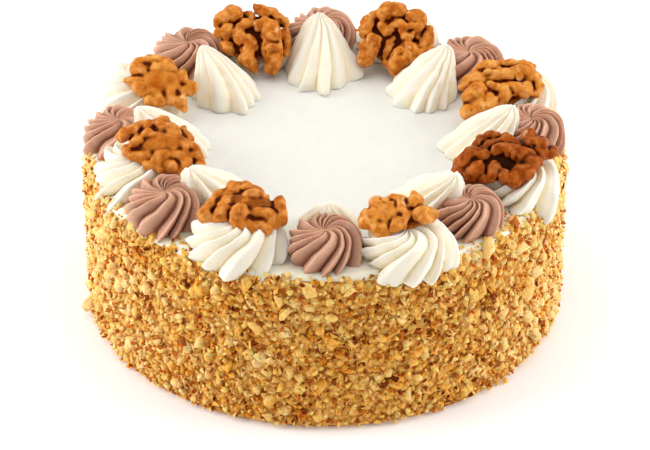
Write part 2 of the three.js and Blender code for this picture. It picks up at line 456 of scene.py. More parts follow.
class ShaderGraph:
    """A material under construction around one Principled shader."""

    def __init__(self, name: str, **sockets: Any) -> None:
        """Starts a material.

        Args:
            name: The material's name.
            sockets: Plain values of the shader's sockets, with _ for a space in a name.
        """
        self.material = bpy.data.materials.new(name)
        self.material.use_nodes = True
        self.tree = self.material.node_tree
        self.shader = self.tree.nodes["Principled BSDF"]
        for key, value in sockets.items():
            self.shader.inputs[key.replace("_", " ")].default_value = value

    def add(self, kind: str, inputs: Mapping[str, Any], output: str = "", **settings: Any) -> Socket:
        """Adds a node and gives the output wanted, the first if left out."""
        node = new_node(self.tree, kind, inputs, settings)
        return find(node.outputs, output) if output else node.outputs[0]

    def attribute(self, name: str) -> Socket:
        """A number stored on the mesh."""
        return self.add("ShaderNodeAttribute", {}, "Fac", attribute_name=name)

    def place(self) -> Socket:
        """The point on the object."""
        return self.add("ShaderNodeTexCoord", {}, "Object")

    def noise(self, size: float, detail: float = 3.0, roughness: float = 0.5) -> Socket:
        """Cloudy noise from 0 to 1 with features of about one size."""
        inputs = {"Vector": self.place(), "Scale": 1 / size, "Detail": detail, "Roughness": roughness}
        return self.add("ShaderNodeTexNoise", inputs)

    def spread(self, value: Socket, low: float, high: float, first: float = 0.0, last: float = 1.0) -> Socket:
        """A value stretched so that low becomes the first number and high the last."""
        ends = {"From Min": low, "From Max": high, "To Min": first, "To Max": last}
        return self.add("ShaderNodeMapRange", {"Value": value, **ends})

    def patches(
        self, size: float, low: float, high: float, detail: float = 3.0, roughness: float = 0.5
    ) -> Socket:
        """Soft patches of about one size, from 0 where the noise is low to 1 where it is high."""
        return self.spread(self.noise(size, detail, roughness), low, high)

    def math(self, operation: str, *values: Socket | float) -> Socket:
        """A Math node on one or two values."""
        return self.add("ShaderNodeMath", dict(zip(("Value", "Value_001"), values)), operation=operation)

    def blend(self, share: Any, first: Any, second: Any, kind: str = "MIX") -> Socket:
        """One colour blended into another by a share."""
        inputs = {"Factor_Float": share, "A_Color": first, "B_Color": second}
        return self.add("ShaderNodeMix", inputs, "Result_Color", data_type="RGBA", blend_type=kind)

    def ramp(self, share: Socket, stops: Stops) -> Socket:
        """A colour looked up on a row of colours.

        Args:
            share: Where on the row, from 0 to 1.
            stops: Each colour, after its place.

        Returns:
            The colour.
        """
        colour = self.add("ShaderNodeValToRGB", {"Fac": share})
        elements = colour.node.color_ramp.elements
        for _ in range(len(stops) - len(elements)):
            elements.new(0.5)
        for element, (place, shade) in zip(elements, stops):
            element.position = place
            element.color = shade
        return colour

    def bump(self, height: Socket, depth: float) -> None:
        """Fine relief of a real depth on the shader."""
        self.link("Normal", self.add("ShaderNodeBump", {"Height": height, "Distance": depth}))

    def link(self, socket: str, value: Socket) -> None:
        """Feeds one of the shader's sockets."""
        self.tree.links.new(value, self.shader.inputs[socket])


@dataclass(frozen=True)
class CreamFinish:
    """Whipped cream: satin, a little translucent, with painted shade in its grooves; on the smooth top the
    same colour paints a lighter, warmer rim.
    """

    name: str
    crest: Colour
    # painted shade: the colour the grooves take in the shade; on the top, painted light at the rim
    groove: Colour
    glow: Point  # how far red, green and blue travel inside
    speckle: float = 0.0  # share of dark specks
    speck: Colour = (0.03, 0.012, 0.006, 1.0)

    def build(self) -> Material:
        """Builds the finish.

        Returns:
            The material.
        """
        graph = ShaderGraph(
            self.name,
            Roughness=0.52,
            Specular_IOR_Level=0.25,
            Subsurface_Weight=0.6,
            Subsurface_Radius=self.glow,
            Subsurface_Scale=1.0,
        )
        # Painted shade: the groove colour where the crest mark is low, standing in for the shade in the
        # grooves
        depth = graph.spread(graph.attribute("crest"), 0.0, 0.85)
        colour = graph.blend(depth, self.groove, self.crest)
        mottle = graph.patches(6 * MM, 0.35, 0.75)
        colour = graph.blend(mottle, colour, graph.blend(0.12, colour, self.groove))
        if self.speckle:
            specks = graph.patches(0.9 * MM, 0.7 - self.speckle, 0.78, detail=2.0)
            colour = graph.blend(specks, colour, graph.blend(0.45, colour, self.speck))
        graph.link("Base Color", colour)
        graph.bump(graph.noise(1.3 * MM, 4.0, 0.6), 0.12 * MM)
        return graph.material


@dataclass(frozen=True)
class NutFinish:
    """Chopped walnut: pale to amber kernel, with brown skin left on some faces and painted shade in the gaps
    between the nuts.
    """

    name: str
    kernel: Stops
    skin: Stops
    grain: Colour = (0.95, 0.86, 0.7, 1.0)  # what a kernel's grain takes from the light
    hollow: Colour = (0.84, 0.5, 0.1, 1.0)  # painted shade: what the gaps between the nuts take from the light, where a bit sits low in the paste

    @staticmethod
    def seams(graph: ShaderGraph) -> Socket:
        """The thin lines, here and there, where two lobes of a kernel met.

        Args:
            graph: The material that they are for.

        Returns:
            How much skin shows there, from 0 to 0.75.
        """
        off_line = graph.math("ABSOLUTE", graph.math("SUBTRACT", graph.noise(3.4 * MM, 2.0), 0.5))
        lines = graph.spread(off_line, 0.0, 0.03, first=0.75, last=0.0)
        return graph.math("MULTIPLY", lines, graph.patches(8 * MM, 0.46, 0.6))

    def build(self) -> Material:
        """Builds the finish.

        Returns:
            The material.
        """
        graph = ShaderGraph(
            self.name,
            Roughness=0.5,
            Specular_IOR_Level=0.1,
            Subsurface_Weight=0.75,
            Subsurface_Radius=(2.0 * MM, 1.0 * MM, 0.35 * MM),
            Subsurface_Scale=1.0,
        )
        patch = graph.patches(2.2 * MM, 0.44, 0.96, detail=4.0, roughness=0.62)
        tone = graph.math("ADD", graph.attribute("tone"), patch)
        kernel = graph.ramp(tone, self.kernel)
        grain = graph.patches(1.1 * MM, 0.3, 0.7)
        kernel = graph.blend(grain, graph.blend(0.75, kernel, self.grain, "MULTIPLY"), kernel)
        skin = graph.ramp(tone, self.skin)
        pale = graph.patches(1.9 * MM, 0.58, 0.7, roughness=0.6)
        kernel = graph.blend(pale, kernel, graph.blend(0.6, kernel, self.kernel[0][1]))
        flecks = graph.patches(1.7 * MM, 0.65, 0.71, detail=4.0, roughness=0.65)
        for skinned in (flecks, self.seams(graph), graph.attribute("skin")):
            kernel = graph.blend(skinned, kernel, skin)
        # Painted shade: darker and more orange where a bit sits low in the paste, in the gaps between the
        # nuts
        hollow = graph.spread(graph.attribute("stand"), 0.2, 1.7, first=0.6, last=0.0)
        shaded = graph.blend(1.0, kernel, self.hollow, "MULTIPLY")
        graph.link("Base Color", graph.blend(hollow, kernel, shaded))
        graph.bump(graph.noise(1.0 * MM, 4.0, 0.6), 0.5 * MM)
        return graph.material


@dataclass(frozen=True)
class CoatFinish:
    """The nut paste and cream that the chopped nuts are pressed into, paler towards the rim."""

    name: str
    paste: Colour
    deep: Colour
    cream: Colour

    def build(self) -> Material:
        """Builds the finish.

        Returns:
            The material.
        """
        graph = ShaderGraph(self.name, Roughness=0.7, Specular_IOR_Level=0.1)
        height = graph.add("ShaderNodeSeparateXYZ", {"Vector": graph.place()}, "Z")
        rim = graph.spread(height, CAKE_HEIGHT - 2 * MM, CAKE_HEIGHT - 1 * MM)
        mottle = graph.patches(3.0 * MM, 0.4, 0.56, detail=4.0, roughness=0.6)
        paste = graph.blend(mottle, self.deep, self.paste)
        graph.link("Base Color", graph.blend(rim, paste, self.cream))
        graph.bump(graph.noise(1.2 * MM, 3.0), 0.5 * MM)
        return graph.material


@dataclass(frozen=True)
class WalnutFinish:
    """The papery skin of one walnut half, with painted shade in its creases and a painted sheen on its knobs.
    """

    # painted sheen on the knobs
    crown: Colour
    knob: Colour
    skin: Colour
    # painted shade in the creases and between the masses
    crease: Colour
    bare: Colour = (0.95, 0.74, 0.45, 1.0)  # the kernel, where the skin has come off

    def build(self, name: str) -> Material:
        """Builds the finish of one half.

        Args:
            name: The material's name.

        Returns:
            The material.
        """
        graph = ShaderGraph(
            name,
            Roughness=0.38,
            Specular_IOR_Level=0.15,
            Specular_Tint=(1.0, 0.5, 0.2, 1.0),
            Subsurface_Weight=0.15,
            Subsurface_Radius=(1.5 * MM, 0.6 * MM, 0.2 * MM),
            Subsurface_Scale=1.0,
        )
        cavity = graph.attribute("cavity")
        mottle = graph.patches(4.2 * MM, 0.32, 0.68, roughness=0.55)
        skin = graph.blend(mottle, self.skin, self.knob)
        worn = graph.patches(5.5 * MM, 0.68, 0.74, detail=2.0)
        skin = graph.blend(worn, skin, graph.blend(0.55, self.knob, self.bare))
        # Painted highlight: a paler sheen in patches on the knobs
        on_knobs = graph.spread(cavity, 0.3, 0.0)
        painted_knob_sheen = graph.math("MULTIPLY", on_knobs, graph.patches(3.0 * MM, 0.4, 0.66, detail=2.0))
        skin = graph.blend(painted_knob_sheen, skin, graph.blend(0.5, skin, self.crown))
        veins = graph.patches(1.6 * MM, 0.48, 0.72, roughness=0.6)
        skin = graph.blend(veins, skin, graph.blend(0.2, skin, self.crease))
        # Painted shade: the crease colour in the creases and between the masses, by the cavity mark
        graph.link("Base Color", graph.blend(graph.spread(cavity, 0.24, 0.72), skin, self.crease))
        graph.bump(graph.noise(1.6 * MM, 3.0), 0.2 * MM)
        return graph.material


@dataclass(frozen=True)
class FloorFinish:
    """A pale, matt studio floor, lit a little from below, with a trace of unevenness."""

    name: str
    colour: Colour
    glow: float

    def build(self) -> Material:
        """Builds the finish.

        Returns:
            The material.
        """
        graph = ShaderGraph(
            self.name,
            Roughness=0.85,
            Specular_IOR_Level=0.1,
            Emission_Color=self.colour,
            Emission_Strength=self.glow,
        )
        shade = tuple(0.985 * channel for channel in self.colour[:3])
        graph.link("Base Color", graph.blend(graph.noise(120 * MM), self.colour, (*shade, 1.0)))
        return graph.material


# The second colour of each cream is painted: shade in the grooves of the piped pieces, and a lighter, warmer
# rim on the top
IVORY = CreamFinish(
    "ivory_cream", tint(231, 226, 214), tint(246, 234, 202), glow=(3.8 * MM, 2.9 * MM, 1.7 * MM)
)
SMOOTH_CREAM = CreamFinish(
    "smooth_cream", tint(227, 226, 219), tint(252, 244, 222), glow=(3.2 * MM, 2.4 * MM, 1.4 * MM)
)
COCOA = CreamFinish(
    "cocoa_cream", tint(214, 169, 142), tint(124, 64, 34), glow=(1.2 * MM, 0.7 * MM, 0.45 * MM), speckle=0.08
)
NUT_PASTE = CoatFinish("nut_paste", tint(232, 180, 92), tint(164, 88, 12), tint(246, 238, 218))
CHOPPED_WALNUT = NutFinish(
    "chopped_walnut",
    kernel=((0.0, tint(252, 218, 153)), (0.4, tint(247, 200, 105)), (0.75, tint(227, 153, 42)),
            (1.0, tint(176, 86, 8))),
    skin=((0.0, tint(186, 104, 28)), (0.6, tint(116, 42, 2)), (1.0, tint(48, 14, 2))),
)
# First colour of each: the painted sheen on the knobs; last: the painted shade in the creases
GOLDEN_WALNUT = WalnutFinish(tint(242, 186, 108), tint(220, 143, 54), tint(182, 92, 16), tint(82, 20, 0))
AMBER_WALNUT = WalnutFinish(tint(238, 174, 96), tint(210, 127, 44), tint(164, 77, 11), tint(68, 14, 0))
BROWN_WALNUT = WalnutFinish(tint(204, 124, 60), tint(172, 82, 18), tint(114, 41, 2), tint(40, 6, 0))
STUDIO_WHITE = FloorFinish("studio_white", (0.94, 0.94, 0.94, 1.0), glow=0.1)


@dataclass(frozen=True)
class PipedShape:
    """What a star nozzle leaves."""

    label: str
    places: Sequence[Point]
    radius: float  # over the crests
    height: float
    skirt: float  # how far the crests hang over the rim
    pull: float  # how far the top is drawn outwards
    outline: Sequence[Point]  # shares of the way from foot to top, of the radius and of the height
    ridges: int
    groove: float  # depth of a groove, as a share of the radius
    crest: float  # 1 for a sharp crest, 2 for a round one
    blade: float  # how far a crest leans over the next groove, as a share of their spacing
    wind: float  # degrees that a crest winds round on its way to the middle
    flare: float  # how far the ends of the crests spread at the foot, as a share of the radius
    sway: float  # how unequal the ridges are in width
    twin: float  # height of a second, finer crest beside each crest, as a share of the groove
    upright: Sequence[int] = ()  # pieces, by number, that are drawn outwards only half as far


class Piped(Enum):
    """The three kinds of piped cream."""

    COCOA_ROSETTE = PipedShape(
        "cocoa_rosette", COCOA_PLACES, radius=14.8 * MM, height=14.5 * MM, skirt=2 * MM, pull=0.0,
        outline=((0, 0, 0), (0.08, 0.8, 0), (0.16, 0.93, 0.1), (0.28, 1, 0.32), (0.42, 0.97, 0.6),
                 (0.56, 0.86, 0.82), (0.68, 0.68, 0.96), (0.8, 0.46, 1), (0.9, 0.23, 0.96), (1, 0, 0.86)),
        ridges=13, groove=0.24, crest=0.9, blade=0.42, wind=100, flare=0.03, sway=0.3, twin=0.14,
    )
    CREAM_ROSETTE = PipedShape(
        "cream_rosette", CREAM_PLACES, radius=17.8 * MM, height=14.5 * MM, skirt=6 * MM, pull=0.0,
        outline=((0, 0, 0), (0.08, 0.8, 0), (0.16, 0.95, 0.1), (0.28, 1, 0.32), (0.42, 0.97, 0.6),
                 (0.56, 0.86, 0.82), (0.68, 0.7, 0.95), (0.8, 0.48, 1), (0.9, 0.25, 0.99), (1, 0, 0.94)),
        ridges=11, groove=0.2, crest=1.15, blade=0.4, wind=120, flare=0.13, sway=0.26, twin=0.12,
    )
    CREAM_DROP = PipedShape(
        "cream_drop", DROP_PLACES, radius=14.2 * MM, height=22 * MM, skirt=0.0, pull=14 * MM,
        outline=((0, 0, 0), (0.08, 0.86, 0), (0.15, 1, 0.06), (0.3, 0.96, 0.24), (0.45, 0.84, 0.44),
                 (0.6, 0.67, 0.63), (0.75, 0.46, 0.8), (0.88, 0.23, 0.93), (1, 0, 1)),
        ridges=10, groove=0.15, crest=1.4, blade=0.12, wind=26, flare=0.15, sway=0.25, twin=0.0, upright=(1,),
    )


@dataclass
class PipedRing:
    """All the pieces of one kind of piped cream, and the tree that shapes them."""

    kind: Piped
    finish: CreamFinish
    slot: Slot
    steps_a_ridge: int = 16
    steps_up: int = 46
    ripple: float = 0.45 * MM  # slow unevenness of the surface
    patch: float = 9 * MM  # and how far apart its waves are
    weld: float = 0.02 * MM  # closer points than this become one
    bed: float = 0.6 * MM  # how far a piece sinks into the cream under it

    def tree(self) -> GeometryTree:
        """Builds the tree: a sheet rolled into the outline, gathered into ridges and wound to a peak.

        Returns:
            The tree, with an input for each size.
        """
        shape = self.kind.value
        tree = GeometryTree(f"piped_{shape.label}")
        radius, height = tree.given("Radius"), tree.given("Height")
        skirt, pull = tree.given("Skirt"), tree.given("Pull")
        turn, wind = tree.given("Turn"), tree.given("Wind")
        seed = tree.given("Seed", "NodeSocketInt")
        sheet = tree.add(
            "GeometryNodeMeshGrid",
            {"Size X": 1.0, "Size Y": 1.0, "Vertices X": shape.ridges * self.steps_a_ridge + 1,
             "Vertices Y": self.steps_up},
        )
        place = tree.add("ShaderNodeSeparateXYZ", {"Vector": tree.add("GeometryNodeInputPosition")})
        around = place + 0.5
        up = tree.other(place, "Y") + 0.5

        # A crest every whole number, each with its own size and its own slip to one side
        ridge = around * float(shape.ridges)
        crest_number = (ridge + 0.5).math("FLOOR").math("MODULO", float(shape.ridges))
        size = tree.random(-1.0, 1.0, seed, crest_number)
        slip = tree.random(-0.14, 0.14, seed + 17, crest_number)
        beside = ridge.math("PINGPONG", 0.5) * 2.0
        crest = 1.0 - (beside * beside + 0.003) ** (shape.crest / 2)
        finer = 1.0 - (ridge * 3.0).math("PINGPONG", 0.5) * 2.0
        crest = crest + finer * crest * (1.0 - crest) * (4 * shape.twin)
        angle = around * (2 * math.pi)
        sway = sum((angle * float(k) + seed * (0.6 * k)).sin() * (shape.sway / k) for k in (2, 3, 5))

        # The outline, with the grooves sunk square to it, all of it shut to a point at both ends
        reach = up.along([(way, out) for way, out, _ in shape.outline])
        rise = up.along([(way, high) for way, _, high in shape.outline])
        open_end = up.step(0.0, 0.08) * (1.0 - up.step(0.97, 1.0))
        upright = up.step(0.25, 0.85)
        level = (1.0 - upright * upright * 0.98) ** 0.5
        taper = up.step(0.04, 0.2) * reach ** 0.5 * open_end
        sink = (1.0 - crest) * shape.groove * taper
        foot = up.step(0.04, 0.16) * (1.0 - up.step(0.2, 0.5))
        spread = crest * foot * (size * 0.8 + 1.0) * shape.flare
        bearing = angle + sway + (up ** 1.3) * wind + turn
        bearing = bearing + (slip - shape.blade) * crest * taper * (2 * math.pi / shape.ridges)
        radial = radius * (reach - sink * level + spread + crest * size * 0.05 * taper)
        outwards = bearing.cos().step(0.1, 0.9)
        fall = skirt * outwards * open_end * (1.0 - up.step(0.1, 0.5)) * (crest * (size * 0.5 + 0.55) + 0.45)
        lift = height * rise - radius * sink * upright - fall
        leaning = pull * rise ** 1.6
        rolled = tree.vector(radial * bearing.cos() + leaning, radial * bearing.sin(), lift)

        # Unevenness of the hand and of the cream
        apart = tree.vector(seed, seed * 0.7, 0.0)
        drift = tree.add("ShaderNodeVectorMath", {"Vector": rolled, "Vector_001": apart})
        cloud = tree.noise(drift, self.patch, "Color")
        centred = tree.add(
            "ShaderNodeVectorMath", {"Vector": cloud, "Vector_001": (0.5, 0.5, 0.5)}, operation="SUBTRACT"
        )
        # The crest mark, by which the finish paints shade into the grooves
        mesh = tree.keep(sheet, "crest", crest * taper + (1.0 - taper) * 0.7)
        mesh = tree.add(
            "GeometryNodeSetPosition",
            {"Geometry": mesh, "Position": rolled, "Offset": tree.scaled(centred, 4 * self.ripple)},
        )
        mesh = tree.add("GeometryNodeMergeByDistance", {"Geometry": mesh, "Distance": self.weld})
        mesh = tree.add("GeometryNodeSetShadeSmooth", {"Geometry": mesh})
        tree.finish(mesh, self.finish.build())
        return tree

    def build(self) -> None:
        """Shapes and places every piece."""
        shape = self.kind.value
        tree = self.tree()
        draw = np.random.default_rng(shape.ridges)
        for number, (angle, ring, size) in enumerate(shape.places, 1):
            name = f"{shape.label}_{number}"
            sizes = {
                "Radius": shape.radius * size,
                "Height": shape.height * size * draw.uniform(0.96, 1.04),
                "Skirt": shape.skirt * draw.uniform(0.8, 1.2),
                "Pull": shape.pull * (0.5 if number in shape.upright else 1.0),
                "Turn": draw.uniform(0, 0.5),
                "Wind": math.radians(shape.wind) * draw.uniform(0.9, 1.1),
                "Seed": 100 * number,
            }
            mesh = tree.run(name, sizes)
            mesh.transform(spoke(angle, ring * MM, CAKE_HEIGHT - self.bed))
            hand_over(f"{name}_piped", mesh, [name])


@dataclass
class CreamTop:
    """The smooth cream on top, drawn flat by a palette knife and rounded over the rim."""

    finish: CreamFinish
    segments: int = 256
    corner_rings: int = 10
    flat_rings: int = 40
    under: float = 2 * MM  # how far it goes on down behind the nuts
    tuck: float = 1.5 * MM  # and how far in it lies there
    swell: float = 0.35 * MM  # slow waves left by the knife
    waves: Curve = ((28, 1.0), (75, 0.5))  # how many of them to a metre, and how strong
    hang: float = 1.2 * MM  # how unevenly the cream reaches down the rim
    drips: float = 90  # how many to a metre there
    edge: float = 0.9  # share of the radius from where the rim is painted lighter and warmer, painted light for the shade of the rosettes
    fade: float = 0.35  # and over what share of it that painted light fades out towards the middle

    def outline(self) -> list[tuple[float, float]]:
        """The outline to turn the cream from.

        Returns:
            Radius and height of each ring, from the underside round the rim to the middle of the top.
        """
        depth = CAKE_HEIGHT - CREAM_FOOT
        corner = [
            (COAT_RADIUS - depth * (1 - math.cos(turn)), CREAM_FOOT + depth * math.sin(turn))
            for turn in np.linspace(0, math.pi / 2, self.corner_rings)
        ]
        flat = [(radius, CAKE_HEIGHT) for radius in np.linspace(corner[-1][0], 0.0, self.flat_rings)[1:]]
        low = CREAM_FOOT - self.under
        return [(0.0, low), (COAT_RADIUS - self.tuck, low), *corner, *flat]

    def build(self) -> None:
        """Turns the cream, makes it uneven and hands it over."""
        vertices, faces = lathe(self.outline(), self.segments)
        for point in vertices:
            if point[2] > CREAM_FOOT + 1 * MM:
                wave = sum(share * noise.noise(Vector(point) * count) for count, share in self.waves)
                point[2] += self.swell * wave
            else:
                point[2] += self.hang * noise.noise(Vector((point[0], point[1], 3.0)) * self.drips)
        mesh = new_mesh("cream_top", vertices, faces)
        # Painted light: the crest mark runs from 1 in the middle to 0 at the rim, where the finish paints the
        # cream lighter and warmer
        outwards = np.hypot(vertices[:, 0], vertices[:, 1]) / COAT_RADIUS
        inwards = np.clip((self.edge - outwards) / self.fade, 0, 1)
        mark(mesh, "crest", inwards)
        mesh.materials.append(self.finish.build())
        hand_over("cream_top_smooth", mesh, ["cream_top"])


@dataclass(frozen=True)
class NutSize:
    """One kind of chopped nut, by size."""

    label: str
    least: float
    most: float
    spacing: float  # between neighbours of this kind
    corners: int  # of a bit, before it is broken into faces
    flatness: float  # thickness over breadth
    skinned: float  # share of the faces that still have skin
    sink: float  # how deep it sits, as a share of its size
    worn: bool  # whether its edges are rubbed round
    whole: float  # the least share of its size that a knocked-in corner keeps

    def squarely(self) -> float:
        """How squarely a face lies to the skinned side if it still has skin: at -9, any way."""
        return 1.0 - 2.0 * self.skinned if self.skinned < 1 else -9.0


class Nuts(Enum):
    """The kinds of chopped nut on the side, largest first."""

    PIECES = NutSize(
        "nut_pieces", least=7.4 * MM, most=13.0 * MM, spacing=7.4 * MM, corners=24, flatness=0.65,
        skinned=0.06, sink=0.2, worn=True, whole=0.62,
    )
    CRUMBS = NutSize(
        "nut_crumbs", least=5.2 * MM, most=9.2 * MM, spacing=4.6 * MM, corners=20, flatness=0.7,
        skinned=0.08, sink=0.18, worn=True, whole=0.55,
    )
    GRAINS = NutSize(
        "nut_grains", least=1.9 * MM, most=4.2 * MM, spacing=3.1 * MM, corners=11, flatness=0.8,
        skinned=0.1, sink=-0.06, worn=False, whole=0.7,
    )
    SKINS = NutSize(
        "nut_skins", least=1.2 * MM, most=4.2 * MM, spacing=4.3 * MM, corners=9, flatness=0.4,
        skinned=1.0, sink=-0.16, worn=False, whole=0.7,
    )


@dataclass
class NutCoat:
    """The side of the cake: a rough coat with chopped nuts of every size pressed into it."""

    coat: CoatFinish
    nuts: NutFinish
    inset: float = 2.4 * MM  # how far in over the rim the nuts reach in front
    spill: float = 6.0 * MM  # and how much farther at the sides
    ragged: float = 1.0 * MM  # how far their upper edge strays
    fray: float = 9 * MM  # and over what length
    tries: float = 4e6  # for places of nuts, to a square metre
    proud: float = 0.5 * MM  # how far out of the coat the nuts are moved before they sink in
    paste: float = 0.9 * MM  # thickness of the paste under the nuts
    roughness: float = 0.9 * MM  # depth of the lumps in it
    lumps: Point = (4.6 * MM, 2.2 * MM, 1.3 * MM)  # and their sizes
    edge: float = 2 * MM  # how far up and in the foot is rounded
    segments: int = 640
    rings: int = 100
    lowest: float = 1.2 * MM  # where the lowest nuts stick
    front: float = 0.4  # share of the radius to either side that counts as the front
    flank: float = 0.6  # and from where on the side begins
    cluster: float = 10 * MM  # size of a cluster of nuts of like tone
    even: float = 0.44  # where between pale and dark a cluster is of middle tone
    contrast: float = 1.8  # how far the clusters differ
    single: float = 0.4  # how far one nut may be darker than its cluster
    paler: float = 0.36  # how much paler the nuts are painted towards the left and right, painted light for the side softboxes
    shapes: int = 12  # different bits of each kind
    seed: int = 5

    def side(self) -> Mesh:
        """The rough coat, from the base up to the cream.

        Returns:
            Its mesh, closed.
        """
        radius, edge = COAT_RADIUS + self.paste, self.edge
        depth = CAKE_HEIGHT - CREAM_FOOT
        foot = [(0.0, 0.0), (radius - edge, 0.0), (radius - 0.4 * edge, 0.3 * edge)]
        wall = [(radius, height) for height in np.linspace(edge, CREAM_FOOT, self.rings)]
        low = CREAM_FOOT - 0.3 * MM
        rim = [
            (radius - self.paste * turn - depth * (1 - math.cos(turn)), low + depth * math.sin(turn))
            for turn in np.radians([12, 24, 36, 48, 60, 70, 80])
        ]
        vertices, faces = lathe([*foot, *wall, *rim, (0.0, rim[-1][1])], self.segments)
        for point in vertices:
            if 0.4 * edge < point[2] < CREAM_FOOT:
                swell = sum(noise.noise(Vector(point) / size) * size for size in self.lumps)
                point[:2] *= 1 + self.roughness * swell / (4 * MM) / radius
        return new_mesh("nut_coat", vertices, faces)

    def bits(self, kind: NutSize) -> bpy.types.Collection:
        """Broken bits of unit breadth, each the hull of a few random points, some of them knocked in.

        Args:
            kind: What the bits are like.

        Returns:
            A collection of them, outside the scene.
        """
        draw = np.random.default_rng(self.seed + kind.corners)
        collection = bpy.data.collections.new(kind.label)
        for number in range(self.shapes):
            points = draw.normal(size=(kind.corners, 3))
            solid = bmesh.new()
            for point in points / np.linalg.norm(points, axis=1, keepdims=True):
                solid.verts.new(point)
            bmesh.ops.convex_hull(solid, input=solid.verts)
            axes = Vector((draw.uniform(0.85, 1.2), draw.uniform(0.7, 1.0), kind.flatness)) / 2
            for corner in solid.verts:
                corner.co *= axes * draw.uniform(kind.whole, 1.0)
            mesh = bpy.data.meshes.new(f"{kind.label}_{number}")
            solid.to_mesh(mesh)
            solid.free()
            if kind.worn:
                mesh.shade_smooth()
            collection.objects.link(bpy.data.objects.new(mesh.name, mesh))
        return collection

    def tree(self, kind: NutSize, bits: bpy.types.Collection, material: Material) -> GeometryTree:
        """Builds the tree that strews one kind of nut over the side.

        Args:
            kind: The kind of nut.
            bits: The bits to strew.
            material: What they are dressed in.

        Returns:
            The tree.
        """
        tree = GeometryTree(f"strew_{kind.label}")
        least, most, spacing = tree.given("Least"), tree.given("Most"), tree.given("Spacing")
        seed = tree.given("Seed", "NodeSocketInt")
        position = tree.add("GeometryNodeInputPosition")
        across = tree.add("ShaderNodeSeparateXYZ", {"Vector": position})
        offset, height = tree.other(across, "Y"), tree.other(across, "Z")
        aside = across.math("ABSOLUTE")
        front = self.front * COAT_RADIUS

        # Points all over the side, from just over the base to a ragged edge on the rim
        stray = tree.noise(position, self.fray) - 0.5
        from_axis = (across * across + offset * offset) ** 0.5 + stray * (4 * self.ragged)
        inner = COAT_RADIUS - self.inset - aside.step(front, self.flank * COAT_RADIUS) * self.spill
        on_side = from_axis.math("GREATER_THAN", inner) * height.math("GREATER_THAN", self.lowest)
        strewn = tree.add(
            "GeometryNodeDistributePointsOnFaces",
            {"Mesh": tree.geometry(), "Distance Min": spacing, "Density Max": self.tries,
             "Density Factor": 1.0, "Seed": seed},
            "Points", distribute_method="POISSON",
        )
        normal = tree.other(strewn, "Normal")
        chosen = {"Geometry": strewn, "Selection": on_side}
        kept = tree.add("GeometryNodeSeparateGeometry", chosen, "Selection")

        # A bit on each point, turned any way, the larger ones rarer
        breadth = least + (most - least) * tree.random(0.0, 1.0, seed + 1) ** 1.6
        stand = tree.random(-0.12, 0.12, seed + 2) - kind.sink
        points = tree.add(
            "GeometryNodeSetPosition",
            {"Geometry": kept, "Offset": tree.scaled(normal, breadth * stand + self.proud)},
        )
        angles = [tree.random(0.0, 2 * math.pi, seed + 3 + i) for i in range(3)]
        choices = tree.add(
            "GeometryNodeCollectionInfo",
            {"Collection": bits, "Separate Children": True, "Reset Children": True},
        )
        strewn_bits = tree.add(
            "GeometryNodeInstanceOnPoints",
            {"Points": points, "Instance": choices, "Pick Instance": True, "Rotation": tree.vector(*angles),
             "Scale": tree.vector(breadth, breadth, breadth)},
        )

        # The tone of each bit, painted paler towards the left and right as painted light, and the side of it
        # that has kept its skin
        cloud = tree.noise(position, self.cluster)
        tone = tree.random(0.0, 1.0, seed + 7) ** 2.0 * self.single + (cloud - self.even) * self.contrast
        # Painted light: paler towards the left and right, where the side softboxes fall
        tone = tone - aside.step(front, COAT_RADIUS) * self.paler
        side = tree.vector(*(tree.random(-1.0, 1.0, seed + 8 + i) for i in range(3)))
        toned = tree.keep(strewn_bits, "tone", tone, "INSTANCE")
        toned = tree.keep(toned, "skin_side", side, "INSTANCE", "FLOAT_VECTOR")
        real = tree.add("GeometryNodeRealizeInstances", {"Geometry": toned})
        skin_side = tree.add(
            "GeometryNodeInputNamedAttribute", {"Name": "skin_side"}, "Attribute", data_type="FLOAT_VECTOR"
        )
        facing = tree.add(
            "ShaderNodeVectorMath",
            {"Vector": tree.add("GeometryNodeInputNormal"), "Vector_001": skin_side},
            "Value", operation="DOT_PRODUCT",
        )
        real = tree.keep(real, "skin", facing.math("GREATER_THAN", kind.squarely()), "FACE")

        # Nothing below the base, and how many millimetres each corner stands out of the paste, for the
        # painted shade in the gaps between the nuts, none on the rim
        here = tree.add("ShaderNodeSeparateXYZ", {"Vector": tree.add("GeometryNodeInputPosition")})
        back, up = tree.other(here, "Y"), tree.other(here, "Z")
        real = tree.add(
            "GeometryNodeSetPosition",
            {"Geometry": real, "Position": tree.vector(here, back, up.math("MAXIMUM", 0.1 * MM))},
        )
        real = tree.add("GeometryNodeRemoveAttribute", {"Geometry": real, "Name": "skin_side"})
        reach = (here * here + back * back) ** 0.5
        out = (reach - (COAT_RADIUS + self.paste)) / MM + up.step(CREAM_FOOT, CAKE_HEIGHT) * 6.0
        real = tree.keep(real, "stand", out)
        tree.finish(real, material)
        return tree

    def build(self) -> None:
        """Makes the coat, then strews each kind of nut over it."""
        side = self.side()
        side.materials.append(self.coat.build())
        hand_over("nut_coat", side, ["cake_body"])
        material = self.nuts.build()
        for order, kind in enumerate(nut.value for nut in Nuts):
            bits = self.bits(kind)
            sizes = {"Least": kind.least, "Most": kind.most, "Spacing": kind.spacing,
                     "Seed": self.seed + 40 * order}
            mesh = self.tree(kind, bits, material).run(kind.label, sizes, side.copy())
            for bit in list(bits.objects):
                bpy.data.objects.remove(bit)
            bpy.data.collections.remove(bits)
            hand_over(kind.label, mesh)


